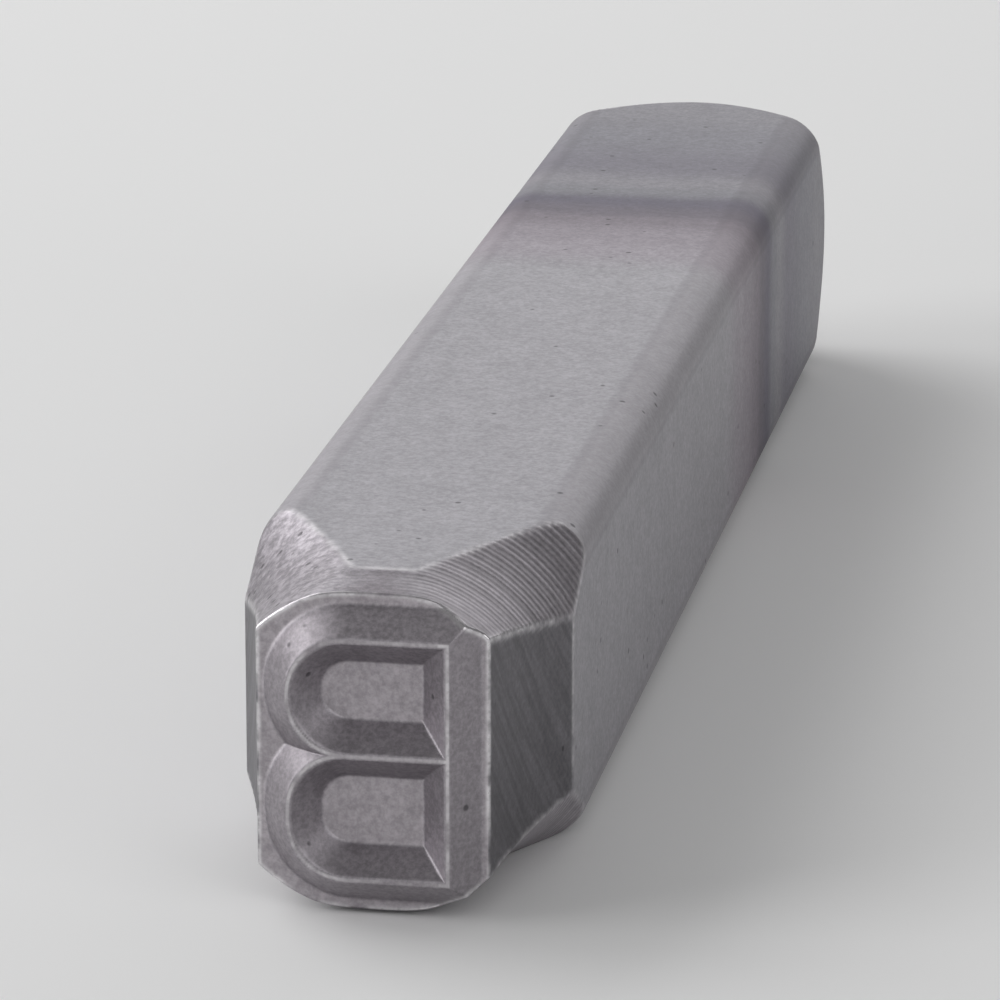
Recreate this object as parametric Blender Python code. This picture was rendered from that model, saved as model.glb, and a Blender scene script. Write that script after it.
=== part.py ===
"""Steel letter punch: a square bar turned at both ends, with one mirrored letter engraved in relief.

The punch lies on one of its four flats. Its axis runs along Y: the letter faces -Y and the struck
end faces +Y. The origin is on the resting flat, in the middle of the punch's length and width.
"""

import math

import bmesh
import bpy
from mathutils import Matrix, Vector

MM = 0.001

# Square bar
SHANK_WIDTH = 11.0 * MM
OVERALL_LENGTH = 76.0 * MM
LONG_EDGE_RADIUS = 1.4 * MM

# Nose, turned down to a round that only just clears the four flats
NOSE_CLEARANCE = 0.02 * MM
NOSE_STRAIGHT = 0.3 * MM
NOSE_FLARE_RADIUS = 22.5 * MM

# Shallow tapered flats ground on the top and bottom of the nose
NOSE_FLAT_LENGTH = 2.2 * MM
NOSE_FLAT_DROP = 0.17 * MM

# Sides of the nose, milled hollow by a large wheel whose axis lies ahead of the face
SIDE_CUT_DEPTH = 1.7 * MM
SIDE_WHEEL_RADIUS = 30.0 * MM
SIDE_WHEEL_LEAD = 5.0 * MM

# Struck end, coned and slightly crowned
STRUCK_FACE_RADIUS = 4.6 * MM
STRUCK_CONE_ANGLE = math.radians(32.0)
STRUCK_CROWN_HEIGHT = 0.3 * MM

# Letter B, mirrored, measured along the middle of its crest
LETTER_HEIGHT = 8.0 * MM
LETTER_WIDTH = 5.2 * MM
WAIST_RISE = 0.16 * MM
BOWL_CORNER_RADIUS = 1.88 * MM
RELIEF_DEPTH = 1.0 * MM
CREST_LAND = 0.2 * MM
FLANK_ANGLE = math.radians(49.0)

# How far cutters and oversize blanks reach past what they cut
OVERCUT = 1.0 * MM
# How far the relief's form is carried below the engraved ground, and short of its sharp ridge
RELIEF_ROOT = 0.25 * MM
RIDGE_MARGIN = 0.02 * MM

# Smoothness of the curves
TURNED_STEPS = 128
NOSE_STEPS = 16
CROWN_STEPS = 4
LONG_EDGE_STEPS = 9
WHEEL_STEPS = 16
BOWL_STEPS = 12
RIDGE_STEPS = 8
SHARP_EDGE_ANGLE = math.radians(20.0)
MERGE_DISTANCE = 0.0001 * MM

STEEL_COLOUR = (0.36, 0.35, 0.355, 1.0)
STEEL_ROUGHNESS = 0.42

# Places that follow from the sizes above
HALF_WIDTH = SHANK_WIDTH / 2
AXIS_HEIGHT = HALF_WIDTH
CREST_Y = -OVERALL_LENGTH / 2
GROUND_Y = CREST_Y + RELIEF_DEPTH
STRUCK_Y = OVERALL_LENGTH / 2
FACE_RADIUS = HALF_WIDTH + NOSE_CLEARANCE
CORNER_REACH = HALF_WIDTH * math.sqrt(2)


def clear_scene():
    """Remove every object that the scene starts with."""
    for item in list(bpy.data.objects):
        bpy.data.objects.remove(item, do_unlink=True)


def add_object(name, build_mesh):
    """Make a named object whose closed mesh build_mesh fills in, with its faces pointing out."""
    shape = bmesh.new()
    build_mesh(shape)
    bmesh.ops.recalc_face_normals(shape, faces=shape.faces)
    mesh = bpy.data.meshes.new(name)
    shape.to_mesh(mesh)
    shape.free()
    item = bpy.data.objects.new(name, mesh)
    bpy.context.scene.collection.objects.link(item)
    return item


def arc(centre, radius, start, end, steps):
    """Points of an arc in a plane, from the start angle to the end angle."""
    points = []
    for step in range(steps + 1):
        angle = start + (end - start) * step / steps
        points.append((centre[0] + radius * math.cos(angle), centre[1] + radius * math.sin(angle)))
    return points


def extrude_outline(shape, corners, travel):
    """Close an outline with one face and extrude it by a vector into a prism."""
    face = shape.faces.new([shape.verts.new(corner) for corner in corners])
    extruded = bmesh.ops.extrude_face_region(shape, geom=[face])
    moved = [part for part in extruded["geom"] if isinstance(part, bmesh.types.BMVert)]
    bmesh.ops.translate(shape, verts=moved, vec=travel)


# Square bar

def rounded_square():
    """Cross-section of the bar: a square whose corners are quarter circles."""
    reach = HALF_WIDTH - LONG_EDGE_RADIUS
    quarter = math.pi / 2
    outline = []
    for index, (side_x, side_z) in enumerate([(1, 1), (-1, 1), (-1, -1), (1, -1)]):
        start = index * quarter
        centre = (side_x * reach, side_z * reach)
        outline += arc(centre, LONG_EDGE_RADIUS, start, start + quarter, LONG_EDGE_STEPS)
    return outline


def build_bar(shape):
    """Bar stock, longer than the punch at both ends."""
    start = CREST_Y - OVERCUT
    corners = [(x, start, z + AXIS_HEIGHT) for x, z in rounded_square()]
    extrude_outline(shape, corners, Vector((0, OVERALL_LENGTH + 2 * OVERCUT, 0)))


# Turned blank

def nose_profile(reach):
    """Turned nose as radius and Y: straight at the face, then a hollow flare out to reach."""
    rise = reach - FACE_RADIUS
    length = math.sqrt(NOSE_FLARE_RADIUS ** 2 - (NOSE_FLARE_RADIUS - rise) ** 2)
    sweep = math.asin(length / NOSE_FLARE_RADIUS)
    points = [(FACE_RADIUS, CREST_Y)]
    for step in range(NOSE_STEPS + 1):
        angle = sweep * step / NOSE_STEPS
        radius = FACE_RADIUS + NOSE_FLARE_RADIUS * (1 - math.cos(angle))
        points.append((radius, GROUND_Y + NOSE_STRAIGHT + NOSE_FLARE_RADIUS * math.sin(angle)))
    return points


def struck_profile(reach):
    """Struck end as radius and Y: a cone from reach down to the face, then a low crown."""
    rim_y = STRUCK_Y - STRUCK_CROWN_HEIGHT
    points = [(reach, rim_y - (reach - STRUCK_FACE_RADIUS) / math.tan(STRUCK_CONE_ANGLE))]
    for step in range(CROWN_STEPS):
        share = 1 - step / CROWN_STEPS
        points.append((STRUCK_FACE_RADIUS * share, STRUCK_Y - STRUCK_CROWN_HEIGHT * share ** 2))
    return points


def build_turned_blank(shape):
    """Spin the two turned ends about the punch's axis as one closed blank."""
    reach = CORNER_REACH + OVERCUT
    profile = [(0.0, CREST_Y)] + nose_profile(reach) + struck_profile(reach) + [(0.0, STRUCK_Y)]
    verts = [shape.verts.new((radius, y, AXIS_HEIGHT)) for radius, y in profile]
    edges = [shape.edges.new(pair) for pair in zip(verts, verts[1:])]
    bmesh.ops.spin(
        shape, geom=verts + edges, cent=(0, 0, AXIS_HEIGHT), axis=(0, 1, 0),
        angle=2 * math.pi, steps=TURNED_STEPS, use_merge=True)
    bmesh.ops.remove_doubles(shape, verts=shape.verts, dist=MERGE_DISTANCE)


# Milled sides

def wheel_reach(y):
    """Distance from the punch's axis to the milled side at this Y."""
    centre_y = GROUND_Y - SIDE_WHEEL_LEAD
    centre_x = HALF_WIDTH - SIDE_CUT_DEPTH + math.sqrt(SIDE_WHEEL_RADIUS ** 2 - SIDE_WHEEL_LEAD ** 2)
    return centre_x - math.sqrt(SIDE_WHEEL_RADIUS ** 2 - (y - centre_y) ** 2)


def wheel_run_out():
    """Y at which the wheel has left the side of the bar by the overcut."""
    rise = SIDE_CUT_DEPTH + OVERCUT
    depth = math.sqrt(SIDE_WHEEL_RADIUS ** 2 - SIDE_WHEEL_LEAD ** 2) - rise
    return GROUND_Y - SIDE_WHEEL_LEAD + math.sqrt(SIDE_WHEEL_RADIUS ** 2 - depth ** 2)


def side_wheel_builder(side):
    """Return a function that builds the stretch of wheel which cuts one side of the nose."""
    def build(shape):
        start = CREST_Y - 2 * OVERCUT
        end = wheel_run_out()
        outline = []
        for step in range(WHEEL_STEPS + 1):
            y = start + (end - start) * step / WHEEL_STEPS
            outline.append((side * wheel_reach(y), y))
        outer = HALF_WIDTH + 2 * OVERCUT
        outline += [(side * outer, end), (side * outer, start)]
        corners = [(x, y, -OVERCUT) for x, y in outline]
        extrude_outline(shape, corners, Vector((0, 0, SHANK_WIDTH + 2 * OVERCUT)))
    return build


# Ground flats

def nose_flat_height(y):
    """Distance from the punch's axis to the ground flat at this Y."""
    return HALF_WIDTH - NOSE_FLAT_DROP * (GROUND_Y + NOSE_FLAT_LENGTH - y) / NOSE_FLAT_LENGTH


def nose_flat_builder(side):
    """Return a function that builds the wedge ground off the top or bottom of the nose."""
    def build(shape):
        start = CREST_Y - 2 * OVERCUT
        end = GROUND_Y + NOSE_FLAT_LENGTH + OVERCUT
        outer = HALF_WIDTH + OVERCUT
        outline = [(start, nose_flat_height(start)), (end, nose_flat_height(end))]
        outline += [(end, outer), (start, outer)]
        corners = [(-outer, y, AXIS_HEIGHT + side * z) for y, z in outline]
        extrude_outline(shape, corners, Vector((2 * outer, 0, 0)))
    return build


# Letter relief

STEM_X = LETTER_WIDTH / 2
BOWL_X = -LETTER_WIDTH / 2
TOP_BAR = LETTER_HEIGHT / 2
MIDDLE_BAR = WAIST_RISE
BOTTOM_BAR = -LETTER_HEIGHT / 2


RIDGE_TOP = RELIEF_DEPTH + math.tan(FLANK_ANGLE) * CREST_LAND / 2 - RIDGE_MARGIN


def flank_offset(height):
    """Distance from the crest's middle line to the ridge's flank, at a height above the ground."""
    return CREST_LAND / 2 + (RELIEF_DEPTH - height) / math.tan(FLANK_ANGLE)


def letter_outline(offset):
    """Outside of the B grown by an offset: square at the stem, with bowls that meet in a notch."""
    radius = BOWL_CORNER_RADIUS + offset
    left = BOWL_X + BOWL_CORNER_RADIUS
    notch = math.asin(BOWL_CORNER_RADIUS / radius)
    upper_waist = (left, MIDDLE_BAR + BOWL_CORNER_RADIUS)
    lower_waist = (left, MIDDLE_BAR - BOWL_CORNER_RADIUS)
    outline = [(STEM_X + offset, BOTTOM_BAR - offset), (STEM_X + offset, TOP_BAR + offset)]
    outline += arc((left, TOP_BAR - BOWL_CORNER_RADIUS), radius, math.pi / 2, math.pi, BOWL_STEPS)
    outline += arc(upper_waist, radius, math.pi, math.pi + notch, BOWL_STEPS)
    outline += arc(lower_waist, radius, math.pi - notch, math.pi, BOWL_STEPS)[1:]
    outline += arc((left, BOTTOM_BAR + BOWL_CORNER_RADIUS), radius, math.pi, 1.5 * math.pi, BOWL_STEPS)
    return outline


def counter_outline(low, high, offset):
    """One counter of the B, square at the stem and rounded at the bowl, shrunk by an offset."""
    radius = BOWL_CORNER_RADIUS - offset
    left = BOWL_X + BOWL_CORNER_RADIUS
    outline = [(STEM_X - offset, low + offset), (STEM_X - offset, high - offset)]
    outline += arc((left, high - BOWL_CORNER_RADIUS), radius, math.pi / 2, math.pi, BOWL_STEPS)
    outline += arc((left, low + BOWL_CORNER_RADIUS), radius, math.pi, 1.5 * math.pi, BOWL_STEPS)
    return outline


def loft(shape, sections):
    """Join outlines, given with their heights above the ground, into one closed solid."""
    rings = []
    for outline, height in sections:
        ring = [shape.verts.new((x, GROUND_Y - height, AXIS_HEIGHT + z)) for x, z in outline]
        rings.append(ring)
    for ring, following in zip(rings, rings[1:]):
        for index in range(len(ring)):
            after = (index + 1) % len(ring)
            shape.faces.new((ring[index], ring[after], following[after], following[index]))
    shape.faces.new(rings[0])
    shape.faces.new(rings[-1])
    bmesh.ops.triangulate(shape, faces=shape.faces)


def build_letter_outside(shape):
    """The B without its counters, in sections that crowd together near the ridge, where the
    notch between the bowls opens fastest."""
    sections = []
    for step in range(RIDGE_STEPS + 1):
        height = RIDGE_TOP - (RIDGE_TOP + RELIEF_ROOT) * (step / RIDGE_STEPS) ** 2
        sections.append((letter_outline(flank_offset(height)), height))
    loft(shape, sections)


def counter_builder(low, high):
    """Return a function that builds one counter, which narrows down to its floor."""
    def build(shape):
        sections = []
        for height in (-RELIEF_ROOT - RIDGE_MARGIN, RIDGE_TOP + RIDGE_MARGIN / 2):
            sections.append((counter_outline(low, high, flank_offset(height)), height))
        loft(shape, sections)
    return build


def build_engraving_slab(shape):
    """Everything ahead of the engraved ground."""
    size = Vector((SHANK_WIDTH + 2 * OVERCUT, RELIEF_DEPTH + OVERCUT, SHANK_WIDTH + 2 * OVERCUT))
    centre = Vector((0, GROUND_Y - size.y / 2, AXIS_HEIGHT))
    place = Matrix.Translation(centre) @ Matrix.Diagonal(size.to_4d())
    bmesh.ops.create_cube(shape, size=1.0, matrix=place)


# Assembly of the cuts

def hide_cutter(cutter):
    """Show a cutter as wire only and leave it out of any render."""
    cutter.display_type = "WIRE"
    cutter.hide_render = True


def cut_with(item, operation, cutter):
    """Add an exact Boolean of another object, and hide that object."""
    step = item.modifiers.new(cutter.name, "BOOLEAN")
    step.operation = operation
    step.solver = "EXACT"
    step.object = cutter
    hide_cutter(cutter)


def make_letter_form():
    """The B's ridges as one drafted solid with a drafted counter in each bowl."""
    letter = add_object("letter", build_letter_outside)
    for name, low, high in (
            ("upper_counter", MIDDLE_BAR, TOP_BAR), ("lower_counter", BOTTOM_BAR, MIDDLE_BAR)):
        cut_with(letter, "DIFFERENCE", add_object(name, counter_builder(low, high)))
    return letter


def make_engraving():
    """The metal that the engraver removes: a slab with the letter left out of it."""
    engraving = add_object("engraving", build_engraving_slab)
    cut_with(engraving, "DIFFERENCE", make_letter_form())
    return engraving


def keep_result(item):
    """Apply the cuts, delete the cutters, and shade the turned and milled faces smooth."""
    evaluated = item.evaluated_get(bpy.context.evaluated_depsgraph_get())
    finished = bpy.data.meshes.new_from_object(evaluated)
    item.modifiers.clear()
    item.data = finished
    for other in list(bpy.data.objects):
        if other is not item:
            bpy.data.objects.remove(other, do_unlink=True)
    finished.shade_smooth()
    finished.set_sharp_from_angle(angle=SHARP_EDGE_ANGLE)


def steel_material():
    """Plain satin steel."""
    steel = bpy.data.materials.new("satin_steel")
    steel.use_nodes = True
    shader = steel.node_tree.nodes["Principled BSDF"]
    shader.inputs["Base Color"].default_value = STEEL_COLOUR
    shader.inputs["Metallic"].default_value = 1.0
    shader.inputs["Roughness"].default_value = STEEL_ROUGHNESS
    return steel


def make_punch():
    """Mill, grind, turn and engrave the bar."""
    punch = add_object("letter_punch", build_bar)
    for name, side in (("left_wheel", -1), ("right_wheel", 1)):
        cut_with(punch, "DIFFERENCE", add_object(name, side_wheel_builder(side)))
    for name, side in (("lower_wedge", -1), ("upper_wedge", 1)):
        cut_with(punch, "DIFFERENCE", add_object(name, nose_flat_builder(side)))
    cut_with(punch, "INTERSECT", add_object("turned_blank", build_turned_blank))
    cut_with(punch, "DIFFERENCE", make_engraving())
    keep_result(punch)
    punch.data.materials.clear()
    punch.data.materials.append(steel_material())


clear_scene()
make_punch()
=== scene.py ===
"""Dressed steel letter punch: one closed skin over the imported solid, in satin blasted steel.

Shapes are worked out in millimetres and written to the mesh in metres. An angle goes round the
punch's axis from +X towards +Z, and a depth runs back along the axis from the engraved ground, so
the letter's crest is at a depth of -1.
"""

from __future__ import annotations

import logging
import math
from dataclasses import dataclass
from enum import Enum

import bpy
import numpy as np
from mathutils import Euler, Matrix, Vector

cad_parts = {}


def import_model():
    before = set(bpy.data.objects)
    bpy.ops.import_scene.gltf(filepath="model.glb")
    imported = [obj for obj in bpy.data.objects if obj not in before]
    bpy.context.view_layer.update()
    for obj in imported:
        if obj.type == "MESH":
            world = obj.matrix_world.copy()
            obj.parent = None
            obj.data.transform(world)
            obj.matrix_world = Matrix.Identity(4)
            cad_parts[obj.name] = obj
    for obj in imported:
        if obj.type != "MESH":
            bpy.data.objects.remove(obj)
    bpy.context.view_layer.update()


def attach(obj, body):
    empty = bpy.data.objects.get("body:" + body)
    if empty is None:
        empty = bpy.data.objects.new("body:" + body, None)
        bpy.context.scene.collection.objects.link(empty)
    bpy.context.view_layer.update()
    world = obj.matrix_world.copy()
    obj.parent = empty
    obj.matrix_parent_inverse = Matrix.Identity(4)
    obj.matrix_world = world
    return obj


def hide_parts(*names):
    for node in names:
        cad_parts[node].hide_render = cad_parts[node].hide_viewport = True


LOG = logging.getLogger("letter_punch")
MM = 0.001
LEAST_SHARE = 1e-3  # of a ray along an axis, so that its length stays finite
CURVE_SHARE = 0.98  # of a radius, up to which its curve is followed

Array = np.ndarray
Values = np.ndarray | float
Row = tuple[float, ...]
Pair = tuple[float, float]
Triple = tuple[float, float, float]
Node = bpy.types.Node
Object = bpy.types.Object
Socket = bpy.types.NodeSocket


class Mark(Enum):
    """Marks that the skin carries as point attributes, each from 0 to 1, for the finish to read."""

    # edges and crests lightened: partly polish from use, partly painted highlight
    WORN_AND_HIGHLIGHT = "worn_edge_and_highlight"
    TURNED = "turned_land"
    MILLED = "milled_side"
    GROUND = "ground_flat"
    FLOOR = "engraved_floor"
    FLANK = "engraved_flank"
    EDGE = "long_edge"


def smooth_min(first: Array, second: Values, width: Values) -> Array:
    """Lesser of two surfaces, with the edge where they cross rounded off.

    It is the lesser value, less a quarter of the width times the square of how far the two are
    from being a width apart.

    Args:
        first: One surface.
        second: The other.
        width: Difference between the two at which the rounding starts.

    Returns:
        The rounded lesser values, never above either surface.
    """
    overlap = np.clip(1.0 - np.abs(first - second) / width, 0.0, None)
    return np.minimum(first, second) - 0.25 * width * overlap**2


def smooth_step(value: Array) -> Array:
    """Ease from 0 to 1 by the cubic three v squared less two v cubed, with v held to that range."""
    held = np.clip(value, 0.0, 1.0)
    return held * held * (3.0 - 2.0 * held)


def bell(value: Array, width: float) -> Array:
    """Bell about nought: e to the power of less the square of the value over the width."""
    return np.exp(-((value / width) ** 2))


def hollow(radius: float, past: Values) -> Values:
    """Height of a circle past its middle: the root of radius squared less distance squared."""
    return np.sqrt(radius**2 - np.clip(past, 0.0, CURVE_SHARE * radius) ** 2)


def ray_share(wave: Array) -> Array:
    """Share of a ray along an axis: the size of its cosine or sine, kept above nought."""
    return np.maximum(np.abs(wave), LEAST_SHARE)


@dataclass(frozen=True)
class GridLines:
    """Grid lines that crowd together near the edges of the relief."""

    reach: float = 0.09
    crowding: float = 3.0
    samples: int = 4001

    def between(self, low: float, high: float, count: int, edges: list[float]) -> Array:
        """Lines between two places.

        Their density is one, plus the crowding times a bell centred on each edge; its running sum
        is turned round, so that equal shares of it give the lines.

        Args:
            low: First line.
            high: Last line.
            count: Number of spaces between the lines.
            edges: Places that need closer lines.

        Returns:
            The count + 1 lines, in rising order.
        """
        fine = np.linspace(low, high, self.samples)
        bells = bell(fine[:, None] - np.array(edges)[None, :], self.reach).sum(axis=1)
        density = 1.0 + self.crowding * np.clip(bells, 0.0, 1.0)
        running = np.concatenate([[0.0], np.cumsum(0.5 * (density[1:] + density[:-1]))])
        return np.interp(np.linspace(0.0, running[-1], count + 1), running, fine)


@dataclass(frozen=True)
class LetterRelief:
    """Ridges of the mirrored B, measured from the middle line of the crest."""

    height: float = 8.0
    width: float = 5.2
    waist: float = 0.16
    bowl_radius: float = 1.88
    depth: float = 1.0
    land: float = 0.2
    flank_slope: float = math.tan(math.radians(49.0))
    crest_rounding: float = 0.05
    foot_rounding: float = 0.08

    @property
    def foot(self) -> float:
        """Distance from the crest's middle line to the foot of a flank."""
        return self.land / 2 + self.depth / self.flank_slope

    def loop_distance(self, x: Array, z: Array, low: float, high: float) -> Array:
        """Signed distance from one loop of the letter, below zero inside it.

        Right of the bowl's centres it is the greatest of those from the three straight sides, so
        the corners are mitred. Left of them it is the length of the offset from the nearer centre,
        less the bowl's radius.

        Args:
            x: Places across the face.
            z: Heights above the axis.
            low: Middle line of the loop's lower bar.
            high: Middle line of the loop's upper bar.

        Returns:
            The distance at each place.
        """
        centre = -self.width / 2 + self.bowl_radius
        above = np.maximum(z - (high - self.bowl_radius), (low + self.bowl_radius) - z)
        box = np.maximum(np.maximum(z - high, low - z), x - self.width / 2)
        bowl = np.hypot(centre - x, np.maximum(above, 0.0)) - self.bowl_radius
        return np.where(x < centre, bowl, box)

    def crest_distance(self, x: Array, z: Array) -> Array:
        """Distance from the crest's middle line, which is that from the nearer of the two loops."""
        loops = ((-self.height / 2, self.waist), (self.waist, self.height / 2))
        return np.abs(np.minimum(*(self.loop_distance(x, z, *bars) for bars in loops)))

    def rise(self, x: Array, z: Array) -> Array:
        """Height of the relief above the engraved ground.

        The flank falls from the edge of the land by its slope. It is held under the crest's height
        and above the ground, with a rounding at both.

        Args:
            x: Places across the face.
            z: Heights above the axis.

        Returns:
            The height at each place.
        """
        flank = self.depth - (self.crest_distance(x, z) - self.land / 2) * self.flank_slope
        held = smooth_min(flank, self.depth, self.crest_rounding)
        return np.clip(-smooth_min(-held, 0.0, self.foot_rounding), 0.0, self.depth)


@dataclass(frozen=True)
class BarStock:
    """Square bar with rounded long edges."""

    half_width: float = 5.5
    edge_radius: float = 1.4

    @property
    def edge_start(self) -> float:
        """Distance from a flat's middle line at which the rounding of a long edge starts."""
        return self.half_width - self.edge_radius

    def radius(self, angle: Array, inset: Values = 0.0) -> Array:
        """Distance from the axis to the bar's surface.

        A ray meets either the flat, at the half width over the greater of its two shares, or the
        circle of the long edge, by the root of the usual second-degree equation.

        Args:
            angle: Angles round the axis.
            inset: How far the surface is moved inward.

        Returns:
            The distance at each angle.
        """
        across, along = np.abs(np.cos(angle)), np.abs(np.sin(angle))
        major, minor = np.maximum(across, along), np.minimum(across, along)
        flat = (self.half_width - inset) / major
        total = self.edge_start * (major + minor)
        root = total**2 - 2.0 * self.edge_start**2 + (self.edge_radius - inset) ** 2
        edge = total + np.sqrt(np.maximum(root, 0.0))
        return np.where(flat * minor <= self.edge_start, flat, edge)


@dataclass(frozen=True)
class TurnedNose:
    """Nose turned straight at the face, then flared out by a hollow curve."""

    face_radius: float = 5.52
    straight: float = 0.3
    flare_radius: float = 22.5

    def radius(self, depth: Array, inset: Values = 0.0) -> Array:
        """Radius at a depth: the face's, plus what the flare has risen past the straight part."""
        flare = hollow(self.flare_radius, depth - self.straight)
        return self.face_radius + self.flare_radius - flare - inset


@dataclass(frozen=True)
class MilledSides:
    """Sides of the nose, milled hollow by a large wheel whose axis lies ahead of the face."""

    ground_half_width: float = 3.8
    wheel_radius: float = 30.0
    lead: float = 5.0

    def half_width(self, depth: Values) -> Values:
        """Distance from the axis plane to the side: the wheel's centre, less the wheel's height."""
        centre = self.ground_half_width + math.sqrt(self.wheel_radius**2 - self.lead**2)
        return centre - hollow(self.wheel_radius, depth + self.lead)

    def radius(self, angle: Array, depth: Array, inset: Values = 0.0) -> Array:
        """Distance from the axis along a ray: the half width over the ray's share across."""
        return (self.half_width(depth) - inset) / ray_share(np.cos(angle))


@dataclass(frozen=True)
class GroundFlats:
    """Shallow tapered flats ground on the top and bottom of the nose."""

    half_width: float = 5.5
    length: float = 2.2
    drop: float = 0.17

    def half_height(self, depth: Values) -> Values:
        """Distance from the axis plane to the flat, which falls evenly towards the face."""
        return self.half_width - self.drop * (self.length - depth) / self.length

    def radius(self, angle: Array, depth: Array, inset: Values = 0.0) -> Array:
        """Distance from the axis along a ray: the half height over the ray's share upward."""
        return (self.half_height(depth) - inset) / ray_share(np.sin(angle))


@dataclass(frozen=True)
class StruckEnd:
    """Coned end with a low crown, where the hammer lands."""

    face_radius: float = 4.6
    rim_depth: float = 74.7
    cone_slope: float = math.tan(math.radians(32.0))
    crown: float = 0.3
    rim_rounding: float = 0.3

    def radius(self, depth: Array) -> Array:
        """Radius of the cone: the face's, plus the slope times the distance short of the rim."""
        return self.face_radius + (self.rim_depth - depth) * self.cone_slope

    def depth(self, radius: Array) -> Array:
        """Depth of the end at a radius.

        It is the lesser of the cone's and the crown's, which falls with the square of the radius.

        Args:
            radius: Distances from the axis.

        Returns:
            The depth at each distance.
        """
        crown = self.rim_depth + self.crown * (1.0 - (radius / self.face_radius) ** 2)
        cone = self.rim_depth + (self.face_radius - radius) / self.cone_slope
        return smooth_min(crown, cone, self.rim_rounding)


@dataclass(frozen=True)
class RowPlan:
    """Rows of points behind the face: depths along the side, then radii on the struck end."""

    near: Row = tuple(np.linspace(0.13, 0.7, 8))
    nose: Row = tuple(np.arange(0.84, 9.3, 0.145))
    shank: Row = (9.8, 11.0, 13.0, *np.linspace(15.5, 67.0, 20), 68.6, 69.6)
    cone: Row = tuple(np.arange(70.0, 74.15, 0.145))
    within_cone: Row = (0.1, 0.2, 0.28)
    rim: Row = tuple(np.linspace(4.72, 4.4, 9))
    crown: Row = (4.2, 3.8, 3.2, 2.5, 1.7, 0.9, 0.35)


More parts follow.
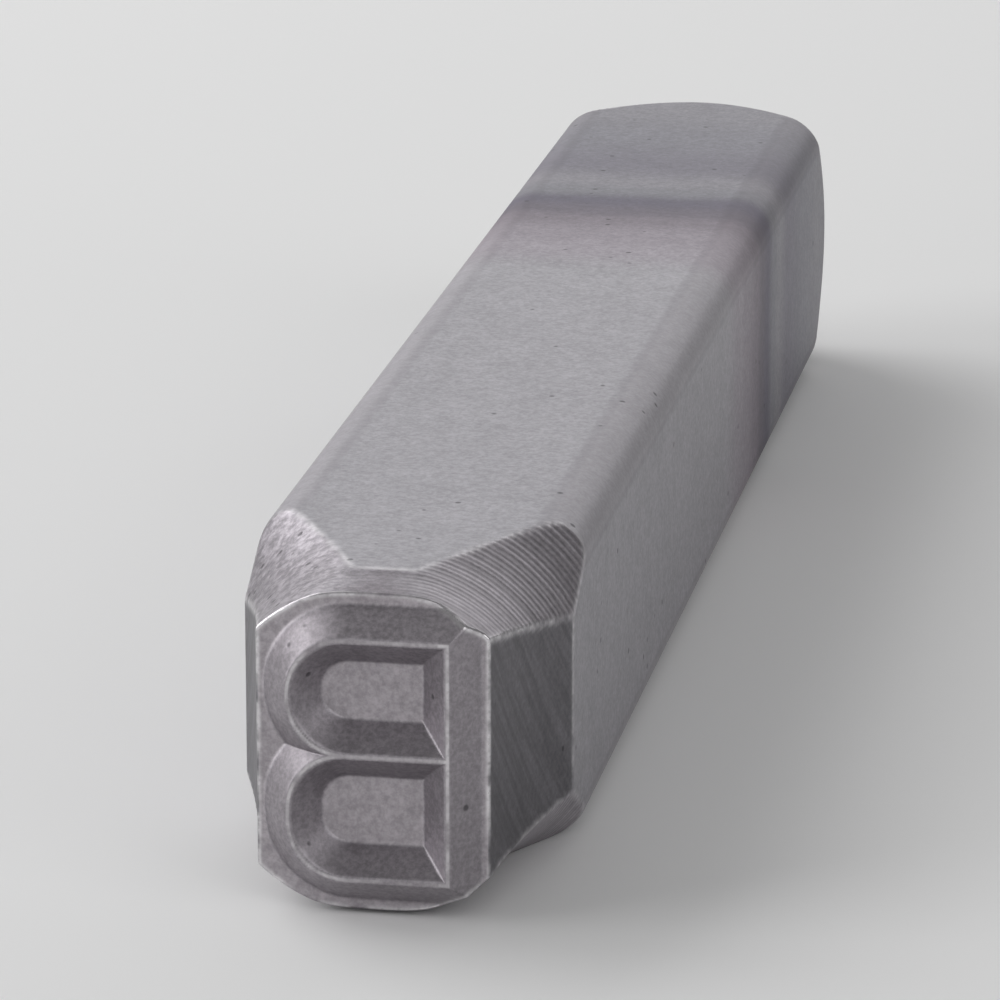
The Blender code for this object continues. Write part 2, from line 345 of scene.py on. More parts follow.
@dataclass(frozen=True)
class PunchSkin:
    """Closed surface of the whole punch: the face's grid, then rows of points along the side.

    The side is a radius given by angle and depth. The face's border gives the angles, the rows
    have half as many points on the nose and a quarter as many on the shank, and the struck end
    closes at a pole.
    """

    relief: LetterRelief = LetterRelief()
    bar: BarStock = BarStock()
    nose: TurnedNose = TurnedNose()
    sides: MilledSides = MilledSides()
    flats: GroundFlats = GroundFlats()
    struck: StruckEnd = StruckEnd()
    lines: GridLines = GridLines()
    plan: RowPlan = RowPlan()
    axis_height: float = 5.5
    ground_y: float = -37.0
    face_rounding: float = 0.08
    face_turns: Row = (22.5, 45.0, 67.5, 90.0)
    nose_rounding: float = 0.08
    side_rounding: float = 0.08
    flat_rounding: float = 0.03
    band_rounding: float = 0.16
    band_ease: float = 0.05
    cone_rounding: float = 0.12
    squeeze_width: float = 0.3
    draw_power: int = 8
    settling_rounds: int = 2
    columns: int = 164
    rows: int = 232

    def surfaces(self, angle: Array, depth: Values, inset: Values = 0.0) -> Array:
        """Distances from the axis to the bar, nose, milled sides, ground flats and struck cone.

        Args:
            angle: Angles round the axis.
            depth: Depths behind the engraved ground.
            inset: How far the surfaces are moved inward, apart from the cone.

        Returns:
            The five distances at each place, stacked in that order.
        """
        angle, depth = np.broadcast_arrays(angle, depth)
        return np.stack([
            self.bar.radius(angle, inset),
            self.nose.radius(depth, inset),
            self.sides.radius(angle, depth, inset),
            self.flats.radius(angle, depth, inset),
            self.struck.radius(depth),
        ])

    def radius(self, angle: Array, depth: Values, inset: Values = 0.0) -> Array:
        """Radius of the side: the least of its surfaces, with a rounding where they cross.

        That between the nose and the ground flats is the widest, so that they run together.

        Args:
            angle: Angles round the axis.
            depth: Depths behind the engraved ground.
            inset: How far the surfaces are moved inward, for the rounding at the face.

        Returns:
            The radius at each place.
        """
        bar, nose, sides, flats, cone = self.surfaces(angle, depth, inset)
        beside_flats = smooth_step((bar - flats) / self.band_ease)
        side = smooth_min(bar, flats, self.flat_rounding)
        side = smooth_min(side, nose, self.nose_rounding + self.band_rounding * beside_flats)
        side = smooth_min(side, sides, self.side_rounding)
        return smooth_min(side, cone, self.cone_rounding)

    def face_points(self) -> tuple[Array, Array]:
        """Points of the face inside its rounded border.

        The grid's lines are straight, apart from those that come near the outline's top or bottom:
        they share out evenly the space left below it. All points are then drawn in a little
        towards the corners, where the outline is rounded.

        Returns:
            Places across the face and heights above the axis, each columns + 1 by rows + 1.
        """
        relief, inset = self.relief, self.face_rounding
        reach_x = self.sides.half_width(0.0) - inset
        reach_z = self.flats.half_height(0.0) - inset
        round_radius = self.nose.face_radius - inset
        stem, bar = relief.width / 2, relief.height / 2
        steps = (-relief.foot, -relief.land / 2, relief.land / 2, relief.foot)
        x_edges = [middle + step for middle in (-stem, stem) for step in steps]
        z_edges = [middle + step for middle in (-bar, relief.waist, bar) for step in steps]
        x = self.lines.between(-reach_x, reach_x, self.columns, x_edges)[:, None]
        z = self.lines.between(-reach_z, reach_z, self.rows, z_edges)[None, :]
        outline = np.minimum(reach_z, np.sqrt(round_radius**2 - x**2))
        start = outline - self.squeeze_width
        squeezed = start + (np.abs(z) - start) * (outline - start) / (reach_z - start)
        z = np.sign(z) * np.where(np.abs(z) > start, squeezed, np.abs(z))
        x = np.broadcast_to(x, z.shape)
        angle, distance = np.arctan2(z, x), np.hypot(x, z)
        hard = np.minimum(reach_x / ray_share(np.cos(angle)), reach_z / ray_share(np.sin(angle)))
        hard = np.minimum(hard, round_radius)
        soft = self.radius(angle, 0.0, inset)
        draw = 1.0 - (1.0 - soft / hard) * np.clip(distance / hard, 0.0, 1.0) ** self.draw_power
        return x * draw, z * draw

    def border(self) -> Array:
        """Indices of the face's border points, in rising angle from its lower right corner."""
        shape = (self.columns + 1, self.rows + 1)
        grid = np.arange(shape[0] * shape[1]).reshape(shape)
        return np.concatenate([grid[-1, :-1], grid[:0:-1, -1], grid[0, :0:-1], grid[:-1, 0]])

    def rounded_rows(self, angle: Array, lift: Array) -> tuple[Array, Array]:
        """Rows that turn from the face into the side by a quarter circle.

        The inset shrinks with the sine of the turn, and the depth grows with one less its cosine,
        below whatever height the relief has at that place.

        Args:
            angle: Angles of the border.
            lift: Heights of the relief there.

        Returns:
            The radii and the depths, one row of each for each turn.
        """
        turn = np.radians(self.face_turns)[:, None]
        inset = self.face_rounding * (1.0 - np.sin(turn))
        sink = self.face_rounding * (1.0 - np.cos(turn))
        depth = sink - lift[None, :]
        for _ in range(self.settling_rounds):
            radius = self.radius(angle, depth, inset)
            depth = sink - self.relief.rise(radius * np.cos(angle), radius * np.sin(angle))
        return radius, depth

    def side_rows(self, angle: Array, depths: Row, lift: Array) -> tuple[Array, Array]:
        """Rows along the side, which start as high as the border and ease down to even depths.

        Args:
            angle: Angles of each row's points.
            depths: Depths of the rows, where they are even.
            lift: Heights of the relief at the border.

        Returns:
            The radii and the depths.
        """
        even, start = np.array(depths)[:, None], self.face_rounding
        ease = smooth_step((even - start) / (self.plan.near[-1] - start))
        depth = even - lift[None, :] * (1.0 - ease)
        return self.radius(angle, depth), depth

    def end_rows(self, angle: Array, radii: Array) -> tuple[Array, Array]:
        """Radii and depths of the rings that close the struck end, from the cone to the crown."""
        radius = np.broadcast_to(radii[:, None], (len(radii), len(angle)))
        return radius, self.struck.depth(radius)

    @staticmethod
    def strip_faces(rows: Array) -> Array:
        """Four-sided faces between rows of indices that close round the punch, facing out."""
        after = np.roll(rows, -1, axis=1)
        return np.stack([rows[:-1], rows[1:], after[1:], after[:-1]], axis=-1).reshape(-1, 4)

    @staticmethod
    def stitch_faces(fine: Array, coarse: Array, fine_first: bool) -> Array:
        """Triangles between a row and one with half as many points.

        Args:
            fine: Indices of the row with more points.
            coarse: Indices of the other.
            fine_first: True where the fine row is nearer to the face.

        Returns:
            Three triangles for each coarse point, facing out.
        """
        here, middle, after = fine[::2], fine[1::2], np.roll(fine[::2], -1)
        beyond = np.roll(coarse, -1)
        faces = np.concatenate([
            np.stack([here, coarse, middle], axis=-1),
            np.stack([middle, coarse, beyond], axis=-1),
            np.stack([middle, beyond, after], axis=-1),
        ])
        return faces if fine_first else faces[:, ::-1]

    def blocks(self, angle: Array, lift: Array) -> list[tuple[Array, Array, Array]]:
        """Rows behind the face, in blocks of rows with equally many points.

        Args:
            angle: Angles of the border.
            lift: Heights of the relief there.

        Returns:
            The angles, the radii and the depths of each block, from the face to the crown.
        """
        plan, half, quarter = self.plan, angle[::2], angle[::4]
        turned = self.rounded_rows(angle, lift)
        lift = self.face_rounding - turned[1][-1]
        end = self.struck.radius(plan.cone[-1]) - np.array(plan.within_cone)
        end = np.concatenate([end, plan.rim])
        near = zip(turned, self.side_rows(angle, plan.near, lift))
        cone = zip(self.side_rows(half, plan.cone, lift[::2]), self.end_rows(half, end))
        return [
            (angle, *map(np.concatenate, near)),
            (half, *self.side_rows(half, plan.nose, lift[::2])),
            (quarter, *self.side_rows(quarter, plan.shank, lift[::4])),
            (half, *map(np.concatenate, cone)),
            (quarter, *self.end_rows(quarter, np.array(plan.crown))),
        ]

    def build(self) -> tuple[Array, list[Array], dict[Mark, Array]]:
        """Work out every point, face and mark of the skin.

        Returns:
            The points in metres, the faces as arrays of indices, and each mark's values.
        """
        x, z = self.face_points()
        rise = self.relief.rise(x, z)
        grid = np.arange(x.size).reshape(x.shape)
        cells = [grid[:-1, :-1], grid[1:, :-1], grid[1:, 1:], grid[:-1, 1:]]
        faces = [np.stack(cells, axis=-1).reshape(-1, 4)]
        points = [np.stack([x.ravel(), -rise.ravel(), z.ravel()], axis=-1)]
        last = self.border()
        angle = np.arctan2(z.ravel()[last], x.ravel()[last])
        total = x.size
        for turn, radius, depth in self.blocks(angle, rise.ravel()[last]):
            rows = total + np.arange(radius.size).reshape(radius.shape)
            total += radius.size
            places = [radius * np.cos(turn), depth, radius * np.sin(turn)]
            points.append(np.stack(places, axis=-1).reshape(-1, 3))
            if len(last) == len(turn):
                faces.append(self.strip_faces(np.stack([last, rows[0]])))
            elif len(last) > len(turn):
                faces.append(self.stitch_faces(last, rows[0], True))
            else:
                faces.append(self.stitch_faces(rows[0], last, False))
            faces.append(self.strip_faces(rows))
            last = rows[-1]
        points.append(np.array([[0.0, self.struck.rim_depth + self.struck.crown, 0.0]]))
        faces.append(np.stack([last, np.full_like(last, total), np.roll(last, -1)], axis=-1))
        local = np.concatenate(points)
        place = np.array([0.0, self.ground_y, self.axis_height])
        return (local + place) * MM, faces, SkinMarks(self, local, x.size).values()


@dataclass
class SkinMarks:
    """Values of the marks at every point, with the widths over which they ease.

    Points are place across, depth and height above the axis, those of the face first. The table of
    edge lightening, partly polish from use and partly painted highlight, has a row and a column for
    each of the skin's surfaces, in their order: bar, nose, milled sides, ground flats and struck
    cone.
    """

    skin: PunchSkin
    points: Array
    face_count: int
    edge_wear_and_highlight: tuple[Row, ...] = (
        (0.0, 0.55, 0.7, 0.80, 0.7),
        (0.55, 0.0, 0.8, 0.0, 0.0),
        (0.7, 0.8, 0.0, 0.3, 0.0),
        (0.80, 0.0, 0.3, 0.0, 0.0),
        (0.7, 0.0, 0.0, 0.0, 0.0),
    )
    edge_width: float = 0.10
    probe: float = 0.01
    probe_radius: float = 0.5
    least_slope: float = 0.03
    border_width: float = 0.07
    border_end: float = 0.5
    relief_end: float = 0.9
    rim_width: float = 0.14
    rim_start: float = 74.0
    # crest lightening by stroke: partly polish from use, partly painted highlight
    stem_wear_and_highlight: float = 0.80
    bowl_wear_and_highlight: float = 0.70
    bar_wear_and_highlight: float = 0.35
    stem_start: float = 2.3
    bowl_start: float = -0.6
    bowl_ease: float = 0.8
    crest_inset: float = 0.02
    crest_ease: float = 0.05
    under_ease: float = 0.06
    band_ease: float = 0.30
    flat_ease: float = 0.02
    foot_height: float = 0.02
    foot_ease: float = 0.08
    long_edge_ease: float = 0.25

    def __post_init__(self) -> None:
        """Work out what the marks share."""
        self.x, self.depth, self.z = self.points.T
        self.angle, self.distance = np.arctan2(self.z, self.x), np.hypot(self.x, self.z)
        self.surfaces = self.skin.surfaces(self.angle, self.depth)
        self.on_face = np.arange(len(self.points)) < self.face_count
        self.rise = self.skin.relief.rise(self.x, self.z)

    def under(self, lower: Array, *others: Array, width: float | None = None) -> Array:
        """How far a surface lies under some others, from 0 to 1, and a half where it is level."""
        below = (np.minimum.reduce(others) - lower) / (width or self.under_ease)
        return np.clip(0.5 + below, 0.0, 1.0)

    @staticmethod
    def gap(surfaces: Array) -> Array:
        """Difference between the lowest surface and the next one."""
        return np.subtract(*np.sort(surfaces, axis=0)[1::-1])

    def edges(self) -> Array:
        """Painted highlight and polish from use at the edges where the side's two lowest surfaces
        cross.

        It is a bell of the distance from the edge, which is the difference between the two over
        the slope of that difference.

        Returns:
            The lightening at each point.
        """
        gap = self.gap(self.surfaces)
        lowest, next_one = np.argsort(self.surfaces, axis=0)[:2]
        turn = self.probe / np.maximum(self.distance, self.probe_radius)
        round_it = self.gap(self.skin.surfaces(self.angle + turn, self.depth)) - gap
        along_it = self.gap(self.skin.surfaces(self.angle, self.depth + self.probe)) - gap
        slope = np.maximum(np.hypot(round_it / self.probe, along_it / self.probe), self.least_slope)
        return np.array(self.edge_wear_and_highlight)[lowest, next_one] * bell(gap / slope, self.edge_width)

    def crest(self) -> Array:
        """Lightening of the crest, partly polish from use and partly painted highlight: most along
        the stem, less round the bowls and least on the bars.

        Returns:
            The lightening at each point.
        """
        relief = self.skin.relief
        inside = relief.land / 2 - self.crest_inset - relief.crest_distance(self.x, self.z)
        at_bowls = smooth_step((self.bowl_start - self.x) / self.bowl_ease)
        left = self.bar_wear_and_highlight + (self.bowl_wear_and_highlight - self.bar_wear_and_highlight) * at_bowls
        crest_wear_and_highlight = np.where(self.x > self.stem_start, self.stem_wear_and_highlight, left)
        return smooth_step(inside / self.crest_ease) * crest_wear_and_highlight

    def border(self) -> Array:
        """Lightening of the face's outline, partly polish from use and partly painted highlight, by
        a bell on both of its sides.

        Returns:
            The lightening at each point.
        """
        outline = self.skin.radius(self.angle, 0.0, self.skin.face_rounding)
        below_crest = self.depth + np.where(self.depth < self.relief_end, self.rise, 0.0)
        return bell(np.where(self.on_face, outline - self.distance, below_crest), self.border_width)

    def values(self) -> dict[Mark, Array]:
        """Values of all the marks; on the side, that is how far a surface lies under the others.

        Returns:
            Each mark's values, one for each point.
        """
        face, side = self.on_face.astype(float), (~self.on_face).astype(float)
        bar, nose, sides, flats, cone = self.surfaces
        border = self.border()
        rim = bell(self.distance - self.skin.struck.face_radius, self.rim_width)
        # lightening at edges, outline and rim: partly polish from use, partly painted highlight
        wear_and_highlight = [self.edges(), border * (self.depth < self.border_end)]
        wear_and_highlight = np.maximum.reduce([*wear_and_highlight, rim * (self.depth > self.rim_start)])
        turned = self.under(nose, bar, sides) * self.under(nose, flats, width=self.band_ease)
        ground = self.under(flats, bar, width=self.flat_ease) * self.under(flats, sides)
        ground = ground * self.under(flats, nose, width=self.band_ease)
        flank = smooth_step((self.rise - self.foot_height) / self.foot_ease)
        past = np.minimum(np.abs(self.x), np.abs(self.z)) - self.skin.bar.edge_start
        long_edge = smooth_step(past / self.long_edge_ease + 0.5)
        return {
            Mark.WORN_AND_HIGHLIGHT: np.where(self.on_face, np.maximum(border, self.crest()), wear_and_highlight),
            Mark.TURNED: side * np.maximum(turned, self.under(cone, bar)),
            Mark.MILLED: side * self.under(sides, bar, nose, flats),
            Mark.GROUND: side * ground,
            Mark.FLOOR: face * (1.0 - flank),
            Mark.FLANK: face * flank,
            Mark.EDGE: side * long_edge * self.under(bar, nose, sides, flats, cone),
        }


@dataclass(frozen=True)
class Cloud:
    """Cloudy noise: clouds to a metre, finer layers, and each layer's strength against the last."""

    scale: float
    detail: float = 2.0
    roughness: float = 0.5


@dataclass(frozen=True)
class Shade:
    """Grey made from a pattern: two values of the pattern, and the grey at each."""

    low: float
    high: float
    dark: float
    light: float


@dataclass(frozen=True)
class FineRelief:
    """Relief too fine for the mesh: its height in metres, and the share of it that shows."""

    height: float
    share: float


@dataclass(frozen=True)
class NodeGraph:
    """A node tree that is built by short calls, most of which return a number or a colour."""

    tree: bpy.types.NodeTree

    def feed(self, socket: Socket, value: object) -> None:
        """Link an input to an output, or set it to a plain value.

        Args:
            socket: The input.
            value: An output, a number, a vector or a colour.
        """
        if isinstance(value, (Socket, Number)):
            self.tree.links.new(getattr(value, "socket", value), socket)
        else:
            socket.default_value = (*value, 1.0) if socket.type == "RGBA" else value

    def node(self, kind: str, inputs: dict[int | str, object], **settings: object) -> Node:
        """Add a node, set its properties and fill its inputs.

        Args:
            kind: The node's type in Blender, without the word ShaderNode.
            inputs: What its inputs are fed with, by name or by place.
            **settings: Values of its properties, by name.

        Returns:
            The new node.
        """
        made = self.tree.nodes.new("ShaderNode" + kind)
        for name, value in settings.items():
            setattr(made, name, value)
        for key, value in inputs.items():
            self.feed(made.inputs[key], value)
        return made

    def math(self, operation: str, *numbers: object, clamp: bool = False) -> Number:
        """Combine numbers by a named sum, such as MULTIPLY, and hold the result if asked to."""
        inputs = dict(enumerate(numbers))
        return Number(self, self.node("Math", inputs, operation=operation, use_clamp=clamp))

    def ramp(self, value: Number, stops: list[tuple[float, Triple]]) -> Socket:
        """Turn a number into a colour by stops that are joined smoothly.

        Args:
            value: The number.
            stops: Numbers from 0 to 1 with their colours.

        Returns:
            The colour.
        """
        made = self.node("ValToRGB", {0: value})
        band = made.color_ramp
        band.interpolation = "EASE"
        while len(band.elements) < len(stops):
            band.elements.new(0.5)
        for element, (place, colour) in zip(band.elements, stops):
            element.position = place
            element.color = (*colour, 1.0)
        return made.outputs[0]

    def shade(self, value: Number, shade: Shade) -> Socket:
        """Turn a pattern into a grey."""
        return self.ramp(value, [(shade.low, (shade.dark,) * 3), (shade.high, (shade.light,) * 3)])

    def window(self, value: object, low: float, high: float) -> Number:
        """Ease a number from 0 at low to 1 at high, where low may be the greater of the two."""
        limits = {"Value": value, "From Min": low, "From Max": high}
        return Number(self, self.node("MapRange", limits, interpolation_type="SMOOTHSTEP"))

    def mix(self, share: object, first: object, second: object, blend: str = "MIX") -> Socket:
        """Blend a share of a second colour into a first, in a named way such as MULTIPLY."""
        inputs = {0: share, 6: first, 7: second}
        return self.node("Mix", inputs, data_type="RGBA", blend_type=blend).outputs[2]

    def scaled(self, vector: Socket, scale: Triple, turn: Triple = (0.0, 0.0, 0.0)) -> Socket:
        """Turn a pattern's coordinates about each axis, and scale them along it."""
        return self.node("Mapping", {0: vector, "Scale": scale, "Rotation": turn}).outputs[0]

    def noise(self, vector: Socket, cloud: Cloud) -> Number:
        """Cloudy noise: a number about 0.5."""
        sizes = {"Scale": cloud.scale, "Detail": cloud.detail, "Roughness": cloud.roughness}
        return Number(self, self.node("TexNoise", {"Vector": vector} | sizes))


class Number:
    """A number that a node gives, which can be added, taken away and multiplied."""

    def __init__(self, graph: NodeGraph, source: Node | Socket) -> None:
        """Take a node's first output, or a given one."""
        self.graph = graph
        self.socket = source if isinstance(source, Socket) else source.outputs[0]

    def __add__(self, other: object) -> Number:
        """Sum of this and another."""
        return self.graph.math("ADD", self, other)

    def __sub__(self, other: object) -> Number:
        """This less another."""
        return self.graph.math("SUBTRACT", self, other)

    def __rsub__(self, other: float) -> Number:
        """A plain number less this."""
        return self.graph.math("SUBTRACT", other, self)

    def __mul__(self, other: object) -> Number:
        """Product of this and another."""
        return self.graph.math("MULTIPLY", self, other)


@dataclass(frozen=True)
class BlastedSteel:
    """Satin blasted tool steel: fine grain, small pits, tool marks, lightened edges and a heat
    band.

    Edges and crests are lightened, partly as polish from use and partly as painted highlight, and
    the flanks and milled sides are darkened as painted shade. The heat band's places and waver are
    in millimetres, and the patterns' scales are to a metre.
    """

    blasted: Triple = (0.399, 0.388, 0.414)
    metals: tuple[tuple[Mark, Triple], ...] = (
        (Mark.FLOOR, (0.415, 0.386, 0.412)),
        # painted shade: the engraved flanks are given darker steel than the engraved floor, for the
        # shade on them
        (Mark.FLANK, (0.338, 0.315, 0.338)),
        (Mark.GROUND, (0.287, 0.264, 0.288)),
        (Mark.TURNED, (0.362, 0.338, 0.366)),
        # painted shade: the milled sides are given very dark steel, for the shade they lie in
        (Mark.MILLED, (0.165, 0.159, 0.172)),
    )
    long_edge: Triple = (0.345, 0.322, 0.345)
    edge_line: Triple = (0.200, 0.190, 0.210)
    pit: Triple = (0.050, 0.047, 0.052)
    # light steel for edges and crests: partly polish from use, partly painted highlight
    wear_and_highlight: Triple = (0.780, 0.760, 0.780)
    long_edge_share: float = 0.35
    edge_line_share: float = 0.8
    pit_share: float = 0.65
    wear_and_highlight_share: float = 0.90
    heat_band: tuple[tuple[float, Triple], ...] = (
        (5.0, (1.0, 1.0, 1.0)),
        (9.0, (0.92, 0.87, 0.90)),
        (11.5, (0.82, 0.765, 0.80)),
        (14.0, (0.635, 0.58, 0.62)),
        (15.6, (0.45, 0.415, 0.465)),
        (17.3, (0.39, 0.37, 0.445)),
        (18.9, (0.63, 0.64, 0.66)),
        (20.6, (0.74, 0.735, 0.755)),
        (23.6, (0.57, 0.56, 0.61)),
        (29.0, (0.655, 0.66, 0.69)),
        (34.0, (0.73, 0.73, 0.745)),
    )
    heat_waver: float = 1.4
    heat_cloud: Cloud = Cloud(150.0)

    grain: Cloud = Cloud(6500.0, 3.0, 0.65)
    grain_shade: Shade = Shade(0.30, 0.70, 0.85, 1.14)
    grain_relief: FineRelief = FineRelief(0.000003, 0.6)
    mottle: Cloud = Cloud(2600.0, 3.0, 0.7)
    mottle_shade: Shade = Shade(0.30, 0.70, 0.92, 1.07)
    blotch_shade: Shade = Shade(0.36, 0.64, 0.80, 1.18)
    cloud: Cloud = Cloud(420.0, 6.0, 0.75)
    cloud_shade: Shade = Shade(0.30, 0.70, 0.955, 1.04)
    wear_and_highlight_patches: Cloud = Cloud(900.0, 3.0)
    patch_window: Pair = (0.28, 0.56)
    wear_and_highlight_specks: Cloud = Cloud(3800.0)
    speck_shade: Shade = Shade(0.38, 0.58, 0.6, 1.0)

    left_window: Pair = (1.5 * MM, -2.5 * MM)
    left_ring_loss: float = 0.80
    ground_rings: float = 0.3
    feed: float = 0.29 * MM
    feed_share: float = 0.36
    nose_stretch: Triple = (45.0, 2400.0, 45.0)
    end_rings: float = 3400.0
    ring_cloud: Cloud = Cloud(1.0, 1.0)
    ring_shade: Shade = Shade(0.35, 0.65, 0.84, 1.12)
    ring_relief: FineRelief = FineRelief(0.000025, 0.9)
    axis_place: Triple = (0.0, 0.0, 5.5 * MM)

    stroke_slant: float = math.radians(55.0)
    stroke_stretch: Triple = (160.0, 200.0, 4200.0)
    stroke_cloud: Cloud = Cloud(1.0)
    stroke_shade: Shade = Shade(0.35, 0.65, 0.88, 1.12)
    stroke_relief: FineRelief = FineRelief(0.000025, 0.45)

    pit_cells: float = 1150.0
    pit_window: Pair = (0.16, 0.07)
    pit_rarity: float = 0.72
    blotch_rarity: float = 0.30
    pit_relief: FineRelief = FineRelief(0.00002, 0.6)

    blasted_roughness: float = 0.54
    tooled_loss: float = 0.08
    engraved_loss: float = 0.05
    worn_loss: float = 0.20
    grain_roughness: float = 0.16

    def material(self) -> bpy.types.Material:
        """Build the finish, which reads Object coordinates and the skin's marks.

        Returns:
            The material.
        """
        made = bpy.data.materials.new("blasted_steel")
        made.use_nodes = True
        graph = NodeGraph(made.node_tree)
        shader = made.node_tree.nodes["Principled BSDF"]
        nodes = SteelNodes(graph, self)
        graph.feed(shader.inputs["Base Color"], nodes.colour())
        graph.feed(shader.inputs["Roughness"], nodes.roughness())
        graph.feed(shader.inputs["Normal"], nodes.relief())
        shader.inputs["Metallic"].default_value = 1.0
        return made


class SteelNodes:
    """Nodes of the steel: the patterns, and the colour, roughness and relief made from them."""

    def __init__(self, graph: NodeGraph, steel: BlastedSteel) -> None:
        """Lay out the patterns that colour, roughness and relief share.

        Args:
            graph: The material's nodes.
            steel: The finish that gives their sizes.
        """
        self.graph, self.steel = graph, steel
        self.place = place = graph.node("TexCoord", {}).outputs["Object"]
        across, along, _ = graph.node("SeparateXYZ", {0: place}).outputs
        self.along = Number(graph, along)
        self.marks = {mark: self.mark(mark) for mark in Mark}
        turned, ground = self.marks[Mark.TURNED], self.marks[Mark.GROUND]
        on_nose = graph.math("LESS_THAN", self.along, 0.0)
        at_left = graph.window(across, *steel.left_window) * on_nose
        self.blotched = graph.math("MULTIPLY", turned + ground, at_left, clamp=True)
        kept, on_ground = 1.0 - at_left * steel.left_ring_loss, ground * steel.ground_rings
        self.ringed = graph.math("ADD", turned * kept, on_ground, clamp=True)
        self.grain = graph.noise(place, steel.grain)
        self.mottle = graph.noise(place, steel.mottle)
        self.cloud = graph.noise(place, steel.cloud)
        self.pits, self.rings, self.strokes = self.lay_pits(), self.lay_rings(), self.lay_strokes()
        # lightening of edges and crests, broken into patches and specks: partly polish from use,
        # partly painted highlight
        patches = graph.window(graph.noise(place, steel.wear_and_highlight_patches), *steel.patch_window)
        specks = graph.shade(graph.noise(place, steel.wear_and_highlight_specks), steel.speck_shade)
        self.wear_and_highlight = self.marks[Mark.WORN_AND_HIGHLIGHT] * patches * specks

    def mark(self, mark: Mark) -> Number:
        """One of the skin's marks."""
        made = self.graph.node("Attribute", {}, attribute_name=mark.value)
        return Number(self.graph, made.outputs["Fac"])

    def lay_pits(self) -> Number:
        """Small scattered pits, in the middles of some of the cells of a pattern.

        Returns:
            A number that is 1 in a pit, and is so more often where the surface is blotched.
        """
        graph, steel = self.graph, self.steel
        cells = graph.node("TexVoronoi", {"Vector": self.place, "Scale": steel.pit_cells}).outputs
        rarity = steel.pit_rarity - self.blotched * steel.blotch_rarity
        few = graph.math("GREATER_THAN", cells["Color"], rarity)
        return graph.window(cells["Distance"], *steel.pit_window) * few

    def lay_rings(self) -> Number:
        """Turning rings.

        At the nose they are noise drawn out round the axis, with the sine of the tool's feed along
        the punch laid over it. At the struck end, which the tool faced off, they are noise of the
        distance from the axis.

        Returns:
            A number about 0.5.
        """
        graph, steel = self.graph, self.steel
        feed = graph.math("SINE", self.along * (2.0 * math.pi / steel.feed))
        at_nose = graph.noise(graph.scaled(self.place, steel.nose_stretch), steel.ring_cloud)
        at_nose = at_nose + feed * at_nose * steel.feed_share
        places = {0: self.place, 1: steel.axis_place}
        offset = graph.node("VectorMath", places, operation="SUBTRACT").outputs[0]
        flat = {0: graph.scaled(offset, (1.0, 0.0, 1.0))}
        distance = graph.node("VectorMath", flat, operation="LENGTH").outputs["Value"]
        rings = graph.node("CombineXYZ", {0: Number(graph, distance) * steel.end_rings}).outputs[0]
        at_end = graph.noise(rings, steel.ring_cloud)
        inputs = {0: graph.math("GREATER_THAN", self.along, 0.0), 2: at_nose, 3: at_end}
        return Number(graph, graph.node("Mix", inputs, data_type="FLOAT"))

    def lay_strokes(self) -> Number:
        """Strokes of the milling wheel, as noise drawn out at a slant up the milled sides."""
        turned = self.graph.scaled(self.place, (1.0, 1.0, 1.0), (self.steel.stroke_slant, 0.0, 0.0))
        drawn_out = self.graph.scaled(turned, self.steel.stroke_stretch)
        return self.graph.noise(drawn_out, self.steel.stroke_cloud)

    def heat_tint(self) -> Socket:
        """Colour of the heat band along the punch, by which the steel's own colour is multiplied.

        Returns:
            The tint.
        """
        band = self.steel.heat_band
        low, length = band[0][0], band[-1][0] - band[0][0]
        waver = self.graph.noise(self.place, self.steel.heat_cloud) - 0.5
        past = self.along + waver * (self.steel.heat_waver * MM) - low * MM
        share = self.graph.math("DIVIDE", past, length * MM)
        return self.graph.ramp(share, [((stop - low) / length, tint) for stop, tint in band])

    def shaded(self, base: Socket, pattern: Number, shade: Shade) -> Socket:
        """A colour multiplied by the grey of a pattern."""
        return self.graph.mix(1.0, base, self.graph.shade(pattern, shade), "MULTIPLY")

    def colour(self) -> Socket:
        """Base colour: each surface's steel, with painted shade on the flanks and milled sides,
        then tool marks, grain, heat band, pits, and the lightening of edges and crests, partly
        polish from use and partly painted highlight.

        Returns:
            The colour.
        """
        graph, steel, marks = self.graph, self.steel, self.marks
        base: object = steel.blasted
        for mark, metal in steel.metals:
            base = graph.mix(marks[mark], base, metal)
        tool_marks = (
            (marks[Mark.MILLED], self.strokes, steel.stroke_shade),
            (self.ringed, self.rings, steel.ring_shade),
            (self.blotched, self.mottle, steel.blotch_shade),
        )
        for share, pattern, shade in tool_marks:
            base = graph.mix(share, base, self.shaded(base, pattern, shade))
        base = self.shaded(base, self.grain, steel.grain_shade)
        base = self.shaded(base, self.mottle, steel.mottle_shade)
        base = self.shaded(base, self.cloud, steel.cloud_shade)
        edge = marks[Mark.EDGE]
        base = graph.mix(edge * steel.long_edge_share, base, steel.long_edge)
        base = graph.mix(edge * (1.0 - edge) * steel.edge_line_share, base, steel.edge_line)
        base = graph.mix(1.0, base, self.heat_tint(), "MULTIPLY")
        base = graph.mix(self.pits * steel.pit_share, base, steel.pit)
        # painted highlight, partly polish from use: edges and crests mixed towards light steel
        return graph.mix(self.wear_and_highlight * steel.wear_and_highlight_share, base, steel.wear_and_highlight)

    def roughness(self) -> Number:
        """Roughness: even where blasted, smoother where a tool cut, smoothest where worn.

        Returns:
            The roughness, from 0 to 1.
        """
        steel, marks = self.steel, self.marks
        tooled = self.graph.math("MAXIMUM", marks[Mark.TURNED], marks[Mark.MILLED])
        engraved = marks[Mark.FLOOR] + marks[Mark.FLANK]
        rough = steel.blasted_roughness - tooled * steel.tooled_loss
        rough = rough - engraved * steel.engraved_loss
        rough = rough + (self.grain - 0.5) * steel.grain_roughness
        return self.graph.math("SUBTRACT", rough, self.wear_and_highlight * steel.worn_loss, clamp=True)

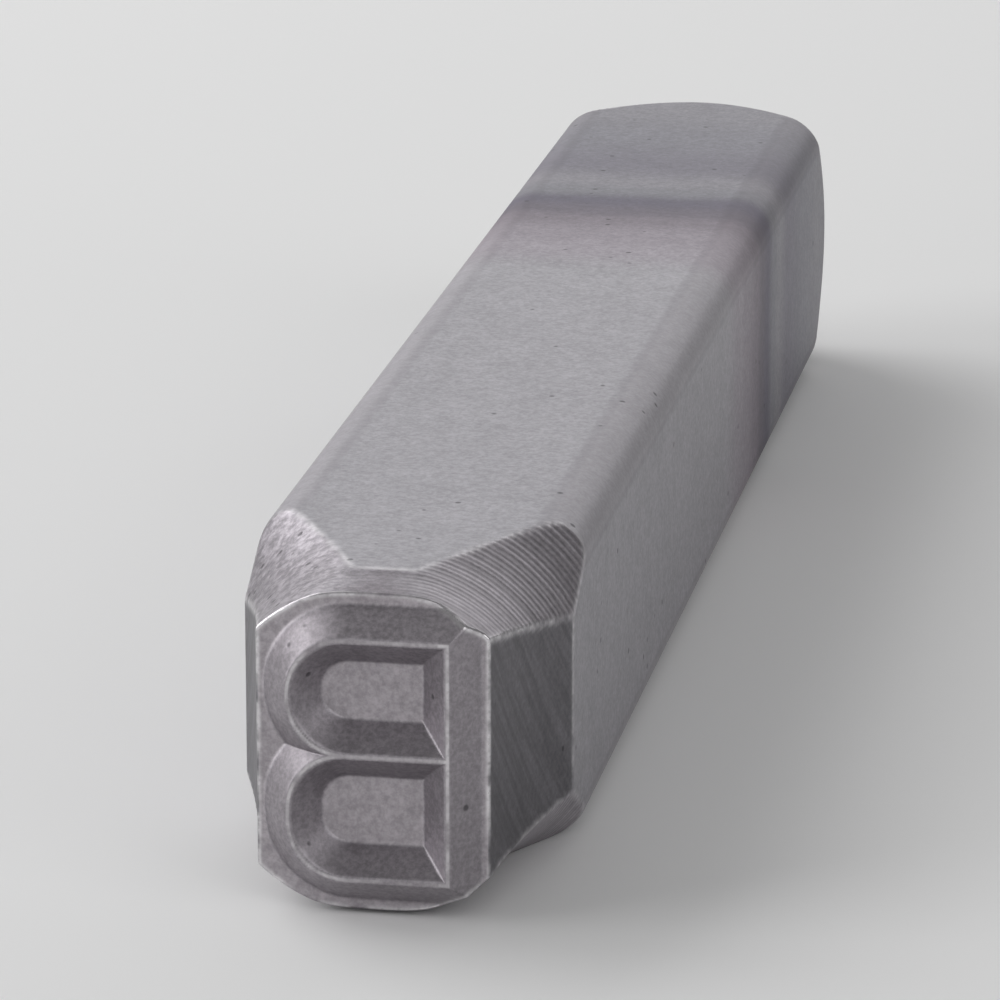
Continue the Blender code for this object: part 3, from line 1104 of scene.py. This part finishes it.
    def relief(self) -> Socket:
        """Fine relief: rings on the turned lands, strokes on the milled sides, pits and grain.

        Returns:
            The normal.
        """
        steel = self.steel
        layers = (
            (self.rings * self.ringed, steel.ring_relief),
            (self.strokes * self.marks[Mark.MILLED], steel.stroke_relief),
            (1.0 - self.pits, steel.pit_relief),
            (self.grain, steel.grain_relief),
        )
        under: dict[str, object] = {}
        for height, fine in layers:
            inputs = {"Height": height, "Distance": fine.height, "Strength": fine.share}
            under = {"Normal": self.graph.node("Bump", inputs | under).outputs[0]}
        return under["Normal"]


def put(name: str, data: bpy.types.ID) -> Object:
    """Make an object and link it to the scene.

    Args:
        name: Its name.
        data: Its mesh, lamp or camera.

    Returns:
        The object, at the origin.
    """
    made = bpy.data.objects.new(name, data)
    bpy.context.scene.collection.objects.link(made)
    return made


def facing(place: Triple, target: Triple) -> Euler:
    """Turn that points a lamp or a camera from its place to a target."""
    return (Vector(target) - Vector(place)).to_track_quat("-Z", "Y").to_euler()


@dataclass(frozen=True)
class LetterPunch:
    """The punch as one dressed piece."""

    name: str = "dressed_punch"
    skin: PunchSkin = PunchSkin()
    finish: BlastedSteel = BlastedSteel()

    def build(self) -> Object:
        """Make the piece's mesh, with its marks.

        Returns:
            The piece, at the origin.
        """
        points, faces, marks = self.skin.build()
        mesh = bpy.data.meshes.new(self.name)
        sizes = np.concatenate([np.full(len(part), part.shape[1]) for part in faces])
        indices = np.concatenate([part.ravel() for part in faces])
        starts = np.concatenate([[0], np.cumsum(sizes)[:-1]])
        mesh.vertices.add(len(points))
        mesh.vertices.foreach_set("co", points.ravel())
        mesh.loops.add(len(indices))
        mesh.loops.foreach_set("vertex_index", indices.astype(np.int32))
        mesh.polygons.add(len(sizes))
        mesh.polygons.foreach_set("loop_start", starts.astype(np.int32))
        mesh.update(calc_edges=True)
        mesh.validate()
        mesh.shade_smooth()
        for mark, values in marks.items():
            layer = mesh.attributes.new(mark.value, "FLOAT", "POINT")
            layer.data.foreach_set("value", values.astype(np.float32))
        return put(self.name, mesh)

    def dress(self, piece: Object) -> None:
        """Give the piece its finish, and let it stand for the solid that it covers.

        Args:
            piece: The punch's object.
        """
        piece.data.materials.append(self.finish.material())
        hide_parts("letter_punch")
        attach(piece, "root")


@dataclass(frozen=True)
class Softbox:
    """A soft lamp that faces the punch, in metres and watts."""

    name: str
    place: Triple
    width: float
    height: float
    power: float

    def light(self) -> None:
        """Place the lamp."""
        lamp = bpy.data.lights.new(self.name, "AREA")
        lamp.shape = "RECTANGLE"
        lamp.size, lamp.size_y, lamp.energy = self.width, self.height, self.power
        made = put(self.name, lamp)
        made.location = self.place
        made.rotation_euler = facing(self.place, (0.0, 0.0, 0.0))


@dataclass(frozen=True)
class Studio:
    """Pale floor, soft lamps, an even surrounding, and the camera at the photograph's angle."""

    floor_size: float = 3.0
    floor_colour: Triple = (0.84, 0.84, 0.84)
    floor_roughness: float = 0.9
    floor_shine: float = 0.2
    surround: float = 0.19
    camera_place: Triple = (0.0354, -0.2144, 0.0661)
    camera_aim: Triple = (-0.0010, -0.0080, 0.0056)
    lens: float = 215.0
    sensor: float = 36.0
    nearest: float = 0.001
    farthest: float = 10.0
    lamps: tuple[Softbox, ...] = (
        Softbox("key_softbox", (-0.50, 0.25, 0.45), 0.6, 0.5, 2.7),
        Softbox("back_softbox", (0.05, 0.75, 0.30), 0.9, 0.4, 1.3),
        Softbox("high_softbox", (0.0, 0.45, 0.75), 0.9, 0.5, 0.4),
        Softbox("left_softbox", (-0.78, -0.35, 0.32), 0.5, 0.5, 2.7),
        Softbox("front_softbox", (0.30, -0.70, 0.60), 0.6, 0.5, 1.2),
        Softbox("low_softbox", (-0.45, -0.85, 0.20), 0.5, 0.3, 0.6),
        Softbox("right_softbox", (0.70, -0.45, 0.40), 0.5, 0.5, 1.0),
    )

    def floor(self) -> None:
        """Lay the floor, which isn't part of the object."""
        half = self.floor_size / 2
        square = [(-half, -half, 0), (half, -half, 0), (half, half, 0), (-half, half, 0)]
        mesh = bpy.data.meshes.new("floor")
        mesh.from_pydata(square, [], [(0, 1, 2, 3)])
        paint = bpy.data.materials.new("pale_floor")
        paint.use_nodes = True
        shader = paint.node_tree.nodes["Principled BSDF"]
        shader.inputs["Base Color"].default_value = (*self.floor_colour, 1.0)
        shader.inputs["Roughness"].default_value = self.floor_roughness
        shader.inputs["Specular IOR Level"].default_value = self.floor_shine
        mesh.materials.append(paint)
        put("floor", mesh)

    def surroundings(self) -> None:
        """Set the even light that comes from all round."""
        world = bpy.data.worlds.new("studio")
        world.use_nodes = True
        background = world.node_tree.nodes["Background"]
        background.inputs["Color"].default_value = (1.0, 1.0, 1.0, 1.0)
        background.inputs["Strength"].default_value = self.surround
        bpy.context.scene.world = world
        bpy.context.scene.view_settings.view_transform = "Standard"

    def camera(self) -> None:
        """Place the camera where the photograph was taken from, and turn it to the punch."""
        data = bpy.data.cameras.new("camera")
        data.sensor_width, data.lens = self.sensor, self.lens
        data.clip_start, data.clip_end = self.nearest, self.farthest
        made = put("camera", data)
        made.location = self.camera_place
        made.rotation_euler = facing(self.camera_place, self.camera_aim)
        bpy.context.scene.camera = made

    def build(self) -> None:
        """Set up the floor, the light and the camera."""
        self.floor()
        self.surroundings()
        for lamp in self.lamps:
            lamp.light()
        self.camera()


def main() -> None:
    """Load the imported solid, dress it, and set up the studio."""
    logging.basicConfig(level=logging.INFO, format="%(name)s: %(message)s")
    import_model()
    punch = LetterPunch()
    piece = punch.build()
    punch.dress(piece)
    triangles = sum(len(polygon.vertices) - 2 for polygon in piece.data.polygons)
    LOG.info("%s: %d points, %d triangles", piece.name, len(piece.data.vertices), triangles)
    studio = Studio()
    studio.build()
    LOG.info("studio: floor, %d softboxes and camera", len(studio.lamps))


if __name__ == "__main__":
    main()
